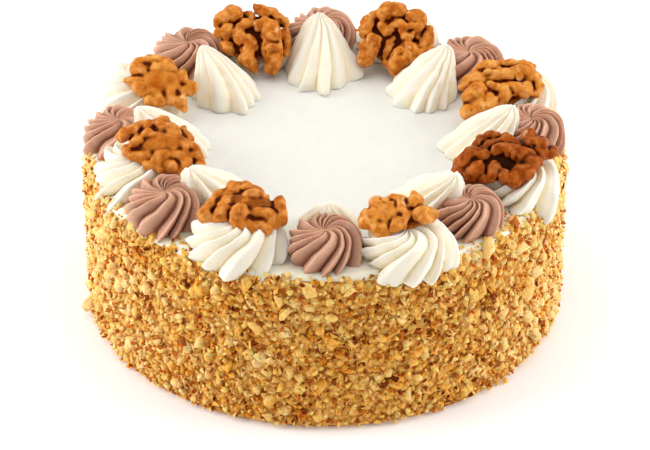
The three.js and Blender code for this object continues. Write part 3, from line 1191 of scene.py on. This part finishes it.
@dataclass(frozen=True)
class Lobe:
    """One rounded lobe of a walnut half."""

    # Places in tenths of the half's width and length from its back left, each with a radius in millimetres
    path: Sequence[Point]
    lift: float = 0.0  # millimetres over the others
    flat: float = 0.95  # how much flatter it is than round

    def beads(self, steps: int = 4) -> np.ndarray:
        """Points along the lobe.

        Args:
            steps: Points to each stretch of the path.

        Returns:
            Them, in tenths, and the radius in millimetres, one a row.
        """
        knots = np.arange(len(self.path)) * steps
        at = np.arange(knots[-1] + 1)
        along = np.stack([np.interp(at, knots, axis) for axis in np.array(self.path).T], -1)
        for _ in range(2):
            along[1:-1] = (along[:-2] + 2 * along[1:-1] + along[2:]) / 4
        return along


Mass = Sequence[Lobe]
FAR = 99.0  # millimetres, farther than anything on a walnut half


def joined(first: np.ndarray, second: np.ndarray, softness: float) -> np.ndarray:
    """The distance to two forms run into one.

    Args:
        first: The distance to one of them.
        second: The distance to the other.
        softness: How wide the join is.

    Returns:
        The distance to both.
    """
    share = np.clip(0.5 + 0.5 * (second - first) / softness, 0, 1)
    return second + (first - second) * share - softness * share * (1 - share)


@dataclass
class WalnutHalf:
    """One walnut half: a few masses of soft lobes on a core, with painted shade where the core shows between
    them. Millimetres until it is placed.
    """

    number: int
    angle: float  # degrees round the cake
    ring: float  # from the axis of the cake
    lean: float  # degrees that its back is raised
    width: float
    length: float
    finish: WalnutFinish
    masses: Sequence[Mass]
    dome: float = 5.0  # how much higher the middle lies than the rim
    seat: float = 13.4  # of the rim over the cream
    core: float = 3.4  # half the thickness of the core
    gloom: float = 0.9  # how dark the painted shade is where the core shows between the masses
    plump: float = 1.15  # how full the lobes are
    pitch: float = 0.5  # of the grid that the surface is found on
    beading: float = 0.8  # how softly the beads of a lobe run into each other
    soft: float = 0.9  # and the lobes of a mass
    crisp: float = 0.35  # and the masses
    bed: float = 0.6  # and the masses and the core
    wrinkles: Curve = ((0.85, 5.2), (0.4, 2.6))  # depth and size
    margin: float = 5.0  # of the grid round the half
    under: float = 8.0  # how far the grid goes down
    over: float = 7.0  # and up over the dome
    skin: float = 3.0  # how far from the surface wrinkles are worked out

    def to_lobe(self, points: np.ndarray, lobe: Lobe, draw: np.random.Generator) -> np.ndarray:
        """How far points lie outside one lobe, laid on the dome of the half.

        Args:
            points: Points in the half's own frame.
            lobe: The lobe.
            draw: What its unevenness is drawn from.

        Returns:
            The distance of each point, negative inside.
        """
        beads = lobe.beads()
        share = beads[:, :2] / 5 - 1
        height = self.dome * np.sqrt(1 - 0.9 * np.minimum(np.sum(share**2, axis=1), 1)) + lobe.lift
        places = np.stack([share[:, 0] * self.width / 2, -share[:, 1] * self.length / 2, height], -1)
        result = np.full(len(points), FAR)
        for place, radius in zip(places, self.plump * beads[:, 2] * draw.uniform(0.92, 1.08, len(beads))):
            offset = (points - place) * (1, 1, lobe.flat)
            outside = np.sqrt(np.einsum("ij,ij->i", offset, offset)) - radius
            result = joined(result, outside, self.beading)
        return result

    def to_masses(self, points: np.ndarray) -> np.ndarray:
        """How far points lie outside all the masses.

        Args:
            points: Points in the half's own frame.

        Returns:
            The distance of each point, negative inside.
        """
        draw = np.random.default_rng(self.number)
        result = np.full(len(points), FAR)
        for mass in self.masses:
            here = np.full(len(points), FAR)
            for lobe in mass:
                here = joined(here, self.to_lobe(points, lobe, draw), self.soft)
            result = joined(result, here, self.crisp)
        return result

    def to_core(self, points: np.ndarray) -> np.ndarray:
        """How far points lie outside the core, a thick oval plate.

        Args:
            points: Points in the half's own frame.

        Returns:
            The distance of each point, negative inside.
        """
        size = np.array([0.35 * self.width, 0.32 * self.length, self.core])
        local = points - (0, 0, 0.3 * self.dome)
        share = np.linalg.norm(local / size, axis=1)
        return share * (share - 1) / np.maximum(np.linalg.norm(local / size**2, axis=1), 1e-3)

    def matrix(self) -> Matrix:
        """The place of the half on its rosette.

        Returns:
            The matrix that takes it there, from millimetres.
        """
        place = spoke(self.angle, self.ring * MM, CAKE_HEIGHT + self.seat * MM).translation
        tilt = Matrix.Rotation(math.radians(self.lean), 4, "X")
        return Matrix.Translation(place) @ tilt @ Matrix.Scale(MM, 4)

    def build(self) -> None:
        """Finds the surface, marks its creases, places it and hands it over."""
        out, back = self.width / 2 + self.margin, self.length / 2 + self.margin
        low = np.array([-out, -back, -self.under])
        high = np.array([out, back, self.dome + self.over])
        counts = np.ceil((high - low) / self.pitch).astype(int)
        axes = [low[i] + self.pitch * np.arange(counts[i]) for i in range(3)]
        grid = np.stack(np.meshgrid(*axes, indexing="ij"), -1).reshape(-1, 3)
        values = self.to_masses(grid)
        near = np.flatnonzero(np.abs(values) < self.skin)
        for depth, size in self.wrinkles:
            values[near] += depth * (0.4 - 2 * np.abs(wrinkle(grid[near], size, self.number)))
        values = joined(values, self.to_core(grid), self.bed)
        vertices, faces = surface_net(values.reshape(counts))
        surface = Surface(low + self.pitch * vertices, faces)
        surface.smooth(1)
        name = f"walnut_{self.number}"
        mesh = new_mesh(name, surface.vertices, surface.faces.tolist())
        # Painted shade: darker where the core shows between the masses, and in the creases that
        # Surface.cavity finds
        between = np.clip(1.4 - np.abs(self.to_core(surface.vertices)) / self.bed, 0, 1)
        between *= self.gloom * np.clip(surface.vertices[:, 2] / self.dome, 0, 1)
        mark(mesh, "cavity", np.maximum(surface.cavity(self.pitch), between))
        mesh.transform(self.matrix())
        mesh.materials.append(self.finish.build(f"{name}_skin"))
        hand_over(f"{name}_half", mesh, [name])


def wrinkle(points: np.ndarray, size: float, seed: int) -> np.ndarray:
    """Smooth random noise.

    Args:
        points: Where it is wanted.
        size: The size of its features.
        seed: Which noise it is.

    Returns:
        A value from -1 to 1 for each point.
    """
    cells = 32
    lattice = np.random.default_rng(seed).uniform(-1, 1, (cells, cells, cells))
    scaled = points / size
    cell = np.floor(scaled).astype(int)
    share = scaled - cell
    share = share * share * (3 - 2 * share)
    total = np.zeros(len(points))
    for corner in np.ndindex(2, 2, 2):
        weight = np.prod(np.where(corner, share, 1 - share), axis=1)
        total += weight * lattice[tuple(((cell + corner) % cells).T)]
    return total


def surface_net(values: np.ndarray) -> tuple[np.ndarray, np.ndarray]:
    """Quads on the zero level of a sampled distance.

    Args:
        values: The distance at each point of a grid, negative inside.

    Returns:
        Vertices in grid steps, one in each cell that the level crosses, and quads facing outwards.
    """
    cells = np.array(values.shape) - 1
    total, count = np.zeros((*cells, 3)), np.zeros(cells)
    steps = np.eye(3, dtype=int)
    for axis in range(3):
        for corner in np.ndindex(2, 2, 2):
            if corner[axis]:
                continue
            near, far = (
                values[tuple(slice(o, o + n) for o, n in zip(offset, cells))]
                for offset in (np.array(corner), np.array(corner) + steps[axis])
            )
            crossed = (near < 0) != (far < 0)
            share = near[crossed] / (near[crossed] - far[crossed])
            total[crossed] += np.array(corner) + share[:, None] * steps[axis]
            count += crossed
    used = count > 0
    number = np.full(cells, -1)
    number[used] = np.arange(used.sum())
    vertices = np.argwhere(used) + total[used] / count[used][:, None]
    quads = []
    for axis in range(3):
        inner = [slice(1, -1)] * 3
        inner[axis] = slice(None, -1)
        outer = list(inner)
        outer[axis] = slice(1, None)
        near, far = values[tuple(inner)] < 0, values[tuple(outer)] < 0
        at = np.argwhere(near != far) + 1 - steps[axis]
        one, two = steps[(axis + 1) % 3], steps[(axis + 2) % 3]
        loop = np.stack([number[tuple((at - shift).T)] for shift in (one + two, two, 0 * one, one)], -1)
        outwards = near[near != far]
        quads.append(np.where(outwards[:, None], loop, loop[:, ::-1]))
    return vertices, np.concatenate(quads)


@dataclass
class Surface:
    """A quad surface that can be smoothed and searched for creases."""

    vertices: np.ndarray
    faces: np.ndarray
    flat: float = 0.3  # how a flat is marked
    deep: float = 0.76  # and the deepest crease
    fine: tuple[int, float] = (3, 6.0)  # how often narrow creases are smoothed, and how strongly they count
    broad: tuple[int, float] = (12, 12.0)  # and broad hollows

    def around(self, values: np.ndarray) -> np.ndarray:
        """The mean of each vertex's neighbours.

        Args:
            values: A value or a point for each vertex.

        Returns:
            The means, in the same form.
        """
        total, count = np.zeros_like(values), np.zeros(len(values))
        for one, two in ((0, 1), (1, 2), (2, 3), (3, 0)):
            for here, there in ((one, two), (two, one)):
                np.add.at(total, self.faces[:, here], values[self.faces[:, there]])
                np.add.at(count, self.faces[:, here], 1)
        return total / (count[:, None] if values.ndim > 1 else count)

    def smooth(self, times: int) -> None:
        """Moves each vertex towards its neighbours, a number of times."""
        for _ in range(times):
            self.vertices = (self.vertices + self.around(self.vertices)) / 2

    def normals(self) -> np.ndarray:
        """The directions that the surface faces.

        Returns:
            One of length 1 for each vertex.
        """
        a, b, c, d = (self.vertices[self.faces[:, i]] for i in range(4))
        facing = np.cross(c - a, d - b)
        total = np.zeros_like(self.vertices)
        for i in range(4):
            np.add.at(total, self.faces[:, i], facing)
        return total / np.linalg.norm(total, axis=1, keepdims=True)

    def cavity(self, pitch: float) -> np.ndarray:
        """How far into a crease each vertex lies.

        Args:
            pitch: The spacing of the vertices.

        Returns:
            From 0 on a knob to the mark of the deepest crease.
        """
        hollow = np.sum((self.around(self.vertices) - self.vertices) * self.normals(), axis=1) / pitch
        result = self.flat
        for times, weight in (self.fine, self.broad):
            for _ in range(times):
                hollow = self.around(hollow)
            result = result + hollow * weight
        return np.clip(result, 0, self.deep)


@dataclass(frozen=True)
class Softbox:
    """One square soft light."""

    name: str
    place: Point
    size: float
    power: float  # watts


@dataclass
class Studio:
    """A pale floor, soft light from above and both sides, and a camera in front."""

    distance: float = 1300 * MM
    elevation: float = 33.56  # degrees over the floor
    aim: Point = (0.2 * MM, 0.0, 32.5 * MM)
    focal_pixels: float = 3091.0
    frame_pixels: float = 650.0
    sensor: float = 36.0
    half_floor: float = 4.0  # half the side of the floor
    surround: float = 0.53  # strength of the even light from all round
    softboxes: Sequence[Softbox] = (
        Softbox("softbox_above", (0.0, 0.1, 1.4), size=1.4, power=7.2),
        Softbox("softbox_left", (-1.3, -0.05, 0.6), size=1.0, power=16.5),
        Softbox("softbox_right", (1.3, 0.0, 0.6), size=1.0, power=14.2),
    )

    def floor(self) -> None:
        """Lays the floor."""
        turns = ((-1, -1, 0), (1, -1, 0), (1, 1, 0), (-1, 1, 0))
        mesh = new_mesh("studio_floor", self.half_floor * np.array(turns), [(0, 1, 2, 3)])
        mesh.materials.append(STUDIO_WHITE.build())
        new_object("studio_floor", mesh)

    def hang(self, box: Softbox) -> None:
        """Hangs one soft light so that it faces the cake.

        Args:
            box: The light.
        """
        light = bpy.data.lights.new(box.name, "AREA")
        light.size = box.size
        light.energy = box.power
        lamp = new_object(box.name, light)
        lamp.location = box.place
        lamp.rotation_euler = (Vector(self.aim) - Vector(box.place)).to_track_quat("-Z", "Y").to_euler()

    def surroundings(self) -> None:
        """Sets the even light that comes from all round."""
        world = bpy.data.worlds.new("studio")
        world.use_nodes = True
        background = world.node_tree.nodes["Background"]
        background.inputs["Color"].default_value = (1.0, 1.0, 1.0, 1.0)
        background.inputs["Strength"].default_value = self.surround
        bpy.context.scene.world = world

    def camera(self) -> None:
        """Sets up the camera."""
        rise = math.radians(self.elevation)
        data = bpy.data.cameras.new("camera")
        data.sensor_width = self.sensor
        data.lens = self.focal_pixels * self.sensor / self.frame_pixels
        camera = new_object("camera", data)
        offset = Vector((0, -math.cos(rise), math.sin(rise))) * self.distance
        camera.location = Vector(self.aim) + offset
        camera.rotation_euler = (-offset).to_track_quat("-Z", "Y").to_euler()
        bpy.context.scene.camera = camera

    def build(self) -> None:
        """Sets up the whole studio."""
        self.floor()
        for box in self.softboxes:
            self.hang(box)
        self.surroundings()
        self.camera()
        bpy.context.scene.view_settings.view_transform = "Standard"
        log.info("studio: floor, three softboxes and camera")


# The walnut halves, one on each cream rosette, each with its own masses
WALNUT_RING = (
    WalnutHalf(
        1, angle=21, ring=81, lean=22, width=31, length=19.6, finish=GOLDEN_WALNUT,
        masses=(
            (
                Lobe(((0.7, 5.4, 2.2), (1.3, 7.0, 2.4))),
                Lobe(((2.2, 8.2, 2.7), (3.2, 8.7, 2.4))),
                Lobe(((4.3, 8.1, 2.4),)),
                Lobe(((2.3, 6.0, 3.8), (4.0, 5.8, 3.8)), flat=1.5),
                Lobe(((5.3, 8.0, 1.5), (5.5, 5.5, 1.9), (5.3, 3.4, 2.0))),
                Lobe(((2.6, 2.6, 2.4), (2.3, 4.0, 2.6), (3.6, 3.6, 2.4))),
                Lobe(((4.3, 2.1, 2.5), (5.4, 1.9, 2.1))),
            ),
            (Lobe(((7.2, 1.9, 2.8), (6.6, 2.8, 1.6))), Lobe(((7.9, 5.6, 2.7), (9.0, 5.3, 2.5)))),
        ),
    ),
    WalnutHalf(
        2, angle=64.5, ring=80.5, lean=25, width=41, length=25.3, finish=BROWN_WALNUT,
        seat=14.4, plump=1.25,
        masses=(
            (Lobe(((1.9, 3.6, 1.8), (2.6, 1.5, 1.8), (3.6, 0.8, 1.8), (5.0, 1.6, 1.6)), lift=-1.5),),
            (Lobe(((2.6, 3.8, 1.3), (3.6, 2.5, 1.4), (5.2, 2.0, 1.4), (6.3, 3.0, 1.3)), lift=-0.8),),
            (Lobe(((4.2, 4.3, 1.5), (5.4, 4.6, 2.4), (6.8, 5.6, 2.7), (7.8, 6.6, 2.1)), lift=0.8),),
            (
                Lobe(((1.7, 4.6, 2.6), (0.9, 6.2, 2.7), (0.5, 7.4, 2.1))),
                Lobe(((2.5, 5.2, 2.3),)),
                Lobe(((1.4, 8.6, 2.5), (2.2, 7.4, 2.7))),
                Lobe(((2.8, 8.9, 1.7),)),
            ),
            (
                Lobe(((3.5, 8.7, 1.8), (3.8, 7.6, 2.2))),
                Lobe(((4.7, 9.2, 1.9), (4.7, 8.4, 2.0))),
                Lobe(((5.6, 9.3, 2.3), (6.2, 8.4, 2.6), (7.2, 7.7, 2.2))),
            ),
            (
                Lobe(((7.4, 1.2, 2.3), (7.6, 2.4, 2.7), (8.4, 4.0, 2.7))),
                Lobe(((8.6, 2.6, 1.7), (9.4, 4.2, 2.0))),
            ),
        ),
    ),
    WalnutHalf(
        3, angle=107, ring=76.5, lean=35, width=35, length=25.8, finish=GOLDEN_WALNUT,
        plump=1.25,
        masses=(
            (Lobe(((5.2, 1.4, 1.6), (7.0, 1.1, 1.9), (8.7, 1.0, 1.6), (8.7, 2.2, 1.3))),),
            (
                Lobe(((3.2, 1.8, 2.4), (4.4, 2.3, 2.4))),
                Lobe(((2.0, 4.0, 1.6), (3.4, 3.5, 2.2), (5.2, 3.3, 2.3), (6.2, 3.5, 1.7))),
            ),
            (
                Lobe(((6.8, 2.7, 2.5), (8.0, 2.9, 2.8), (9.2, 3.9, 2.4)), lift=0.4),
                Lobe(((9.5, 4.7, 1.7), (9.2, 6.2, 1.5))),
            ),
            (
                Lobe(((5.1, 8.0, 1.4), (5.6, 6.6, 1.8), (5.8, 5.3, 1.8))),
                Lobe(((6.6, 5.6, 1.7), (7.6, 6.3, 2.1), (8.3, 5.4, 2.0))),
            ),
            (
                Lobe(((1.2, 9.2, 2.7), (2.4, 8.4, 3.2), (3.8, 7.8, 2.7))),
                Lobe(((1.4, 7.0, 2.5), (2.6, 6.0, 2.9), (2.4, 7.3, 2.0))),
                Lobe(((3.9, 5.1, 1.5), (4.6, 5.7, 1.2))),
            ),
            (Lobe(((0.4, 5.0, 1.2), (1.4, 3.8, 1.4), (2.2, 2.6, 1.0))),),
        ),
    ),
    WalnutHalf(
        4, angle=155, ring=71.5, lean=50, width=33, length=32.8, finish=AMBER_WALNUT,
        seat=12.2, plump=1.25,
        masses=(
            (Lobe(((3.6, 1.9, 2.8), (4.6, 1.2, 3.0), (5.6, 1.2, 2.7))), Lobe(((3.5, 3.0, 2.1),))),
            (Lobe(((2.2, 1.9, 2.0), (1.5, 2.8, 2.2), (0.9, 3.8, 1.9), (1.3, 4.4, 1.6))),),
            (Lobe(((1.9, 5.2, 2.5), (1.3, 6.8, 3.0), (1.2, 7.6, 2.6)), lift=0.6),),
            (Lobe(((4.3, 3.9, 1.4), (5.2, 2.9, 1.9), (6.0, 3.8, 1.7), (6.4, 4.5, 1.6)), lift=1.0),),
            (Lobe(((5.0, 4.2, 1.0), (4.3, 6.2, 1.1), (3.8, 8.0, 1.2)), lift=-0.6),),
            (Lobe(((7.0, 2.0, 2.3), (8.0, 2.2, 2.9), (7.6, 3.6, 2.7), (6.9, 4.6, 1.9))),),
            (Lobe(((9.2, 3.8, 1.9), (9.2, 5.2, 2.3), (8.6, 6.4, 2.3))),),
            (
                Lobe(((6.8, 6.4, 3.2), (5.9, 7.5, 3.8), (5.3, 8.5, 3.5)), lift=0.6),
                Lobe(((7.8, 6.9, 2.5), (6.8, 8.2, 2.7))),
            ),
        ),
    ),
    WalnutHalf(
        5, angle=206, ring=71.5, lean=50, width=33, length=30.6, finish=AMBER_WALNUT,
        plump=1.22,
        masses=(
            (
                Lobe(((1.5, 2.4, 3.0), (2.7, 1.4, 3.1), (3.0, 2.1, 2.8))),
                Lobe(((1.0, 2.9, 2.3),)),
                Lobe(((1.2, 4.3, 2.5), (2.2, 3.9, 2.5))),
            ),
            (Lobe(((1.6, 5.8, 2.0), (2.4, 6.8, 2.0)), lift=-2.0),),
            (
                Lobe(((5.2, 3.0, 1.6), (4.0, 3.2, 2.0), (3.3, 4.2, 2.1), (3.9, 5.2, 2.3), (5.0, 6.0, 2.3),
                      (4.6, 7.0, 2.3), (4.4, 8.0, 2.5), (5.2, 9.2, 2.1)), lift=0.8),
            ),
            (Lobe(((5.9, 3.3, 1.9),), lift=1.0),),
            (Lobe(((6.8, 2.8, 2.2), (7.6, 4.2, 3.1), (7.8, 6.0, 3.5), (7.9, 8.0, 3.3),
                   (7.7, 9.0, 2.5)), lift=0.8),),
            (Lobe(((4.5, 1.6, 1.4), (5.1, 2.2, 1.4)), lift=-0.8),),
            (Lobe(((5.6, 0.6, 1.4), (6.6, 1.4, 2.1), (7.6, 1.4, 2.0))),),
            (Lobe(((8.2, 2.4, 1.8), (9.2, 2.7, 1.8))),),
            (Lobe(((9.3, 4.2, 1.6), (9.6, 6.0, 1.8), (9.4, 7.0, 1.6))),),
        ),
    ),
    WalnutHalf(
        6, angle=250, ring=73, lean=35, width=31.5, length=24.7, finish=GOLDEN_WALNUT,
        core=7.2, gloom=0.3, plump=1.2, soft=2.0, crisp=1.0,
        masses=(
            (
                Lobe(((1.8, 1.8, 2.1), (3.0, 1.0, 2.1), (4.4, 0.9, 2.3), (5.4, 1.4, 2.1), (6.2, 2.4, 1.9))),
                Lobe(((4.2, 3.3, 2.1), (5.4, 2.8, 2.3), (6.2, 3.2, 1.7)), lift=0.4),
            ),
            (Lobe(((1.9, 2.8, 2.2), (2.8, 3.2, 2.1)), lift=0.8),),
            (
                Lobe(((1.0, 4.5, 1.7), (2.2, 4.9, 2.2), (4.2, 5.1, 2.3))),
                Lobe(((2.4, 6.0, 2.8), (4.2, 6.4, 3.4), (6.2, 6.0, 3.2), (7.4, 5.8, 2.0)), flat=1.4),
                Lobe(((3.8, 8.0, 2.1), (5.6, 7.9, 2.8), (7.2, 7.9, 2.4), (8.2, 9.3, 1.4)), flat=1.4),
            ),
            (Lobe(((6.9, 2.9, 1.4), (8.0, 4.4, 1.9), (9.3, 6.2, 1.7))),),
        ),
    ),
    WalnutHalf(
        7, angle=291.5, ring=71, lean=30, width=35, length=25.6, finish=AMBER_WALNUT,
        seat=14.2, core=7.2, gloom=0.3, plump=1.2, soft=2.0, crisp=1.0,
        masses=(
            (Lobe(((0.5, 2.8, 1.8), (1.6, 2.5, 2.3), (3.0, 1.6, 2.3), (4.4, 1.4, 2.1), (5.3, 0.8, 2.0))),),
            (Lobe(((7.4, 2.0, 1.5), (8.4, 3.6, 1.6)), lift=-1.5),),
            (
                Lobe(((5.0, 2.0, 2.1), (6.2, 2.6, 2.8), (6.4, 4.0, 2.8))),
                Lobe(((1.3, 6.0, 1.8), (2.6, 4.6, 2.7), (3.6, 3.7, 2.3), (5.0, 4.4, 2.4), (6.8, 5.4, 2.2),
                      (8.0, 6.0, 2.0))),
                Lobe(((3.4, 5.4, 1.9), (5.0, 5.7, 2.0), (6.6, 6.2, 2.0)), lift=-0.8),
            ),
            (
                Lobe(((1.9, 6.7, 1.9), (3.2, 7.1, 2.4), (4.6, 7.3, 2.8), (6.4, 7.3, 3.0),
                      (7.8, 7.4, 2.6)), flat=1.25),
                Lobe(((3.6, 8.4, 1.8), (5.0, 8.6, 2.1), (6.4, 8.8, 2.1), (7.2, 9.4, 1.7))),
            ),
            (Lobe(((8.8, 5.9, 2.1), (9.4, 7.0, 2.1), (9.4, 8.8, 1.7))),),
        ),
    ),
    WalnutHalf(
        8, angle=336, ring=78, lean=22, width=36, length=24.7, finish=AMBER_WALNUT,
        core=6.8, gloom=0.5, plump=1.22,
        masses=(
            (Lobe(((4.0, 1.0, 2.1), (3.9, 2.4, 2.3), (3.2, 4.2, 2.3), (2.6, 6.2, 2.3),
                   (2.4, 7.2, 1.9)), lift=0.6),),
            (
                Lobe(((3.0, 2.0, 1.4), (2.3, 3.2, 1.7), (1.6, 4.6, 2.1), (0.8, 5.8, 2.3), (1.2, 7.0, 2.1),
                      (2.0, 7.6, 1.6))),
            ),
            (Lobe(((4.9, 2.0, 1.8), (5.6, 1.4, 1.9), (6.4, 2.2, 2.1), (7.1, 3.6, 1.9))),),
            (
                Lobe(((4.6, 7.2, 2.7), (5.0, 5.4, 2.3), (5.6, 3.9, 2.5), (6.4, 3.4, 2.1)), lift=0.6),
                Lobe(((4.8, 8.4, 2.3), (6.0, 8.8, 2.5), (7.4, 8.8, 2.3))),
                Lobe(((6.2, 6.6, 2.6), (7.6, 6.6, 2.6), (8.4, 7.6, 2.3))),
            ),
            (Lobe(((8.8, 3.8, 1.5), (8.8, 5.0, 1.9), (9.2, 7.0, 2.1))),),
        ),
    ),
)


def main() -> None:
    """Builds the cake and its studio, and notes the size of the result."""
    logging.basicConfig(level=logging.INFO, format="%(name)s %(message)s")
    NutCoat(NUT_PASTE, CHOPPED_WALNUT).build()
    CreamTop(SMOOTH_CREAM).build()
    PipedRing(Piped.COCOA_ROSETTE, COCOA, Slot.COCOA).build()
    PipedRing(Piped.CREAM_ROSETTE, IVORY, Slot.CREAM).build()
    PipedRing(Piped.CREAM_DROP, IVORY, Slot.CREAM).build()
    for half in WALNUT_RING:
        half.build()
    Studio().build()


if __name__ == "__main__":
    main()
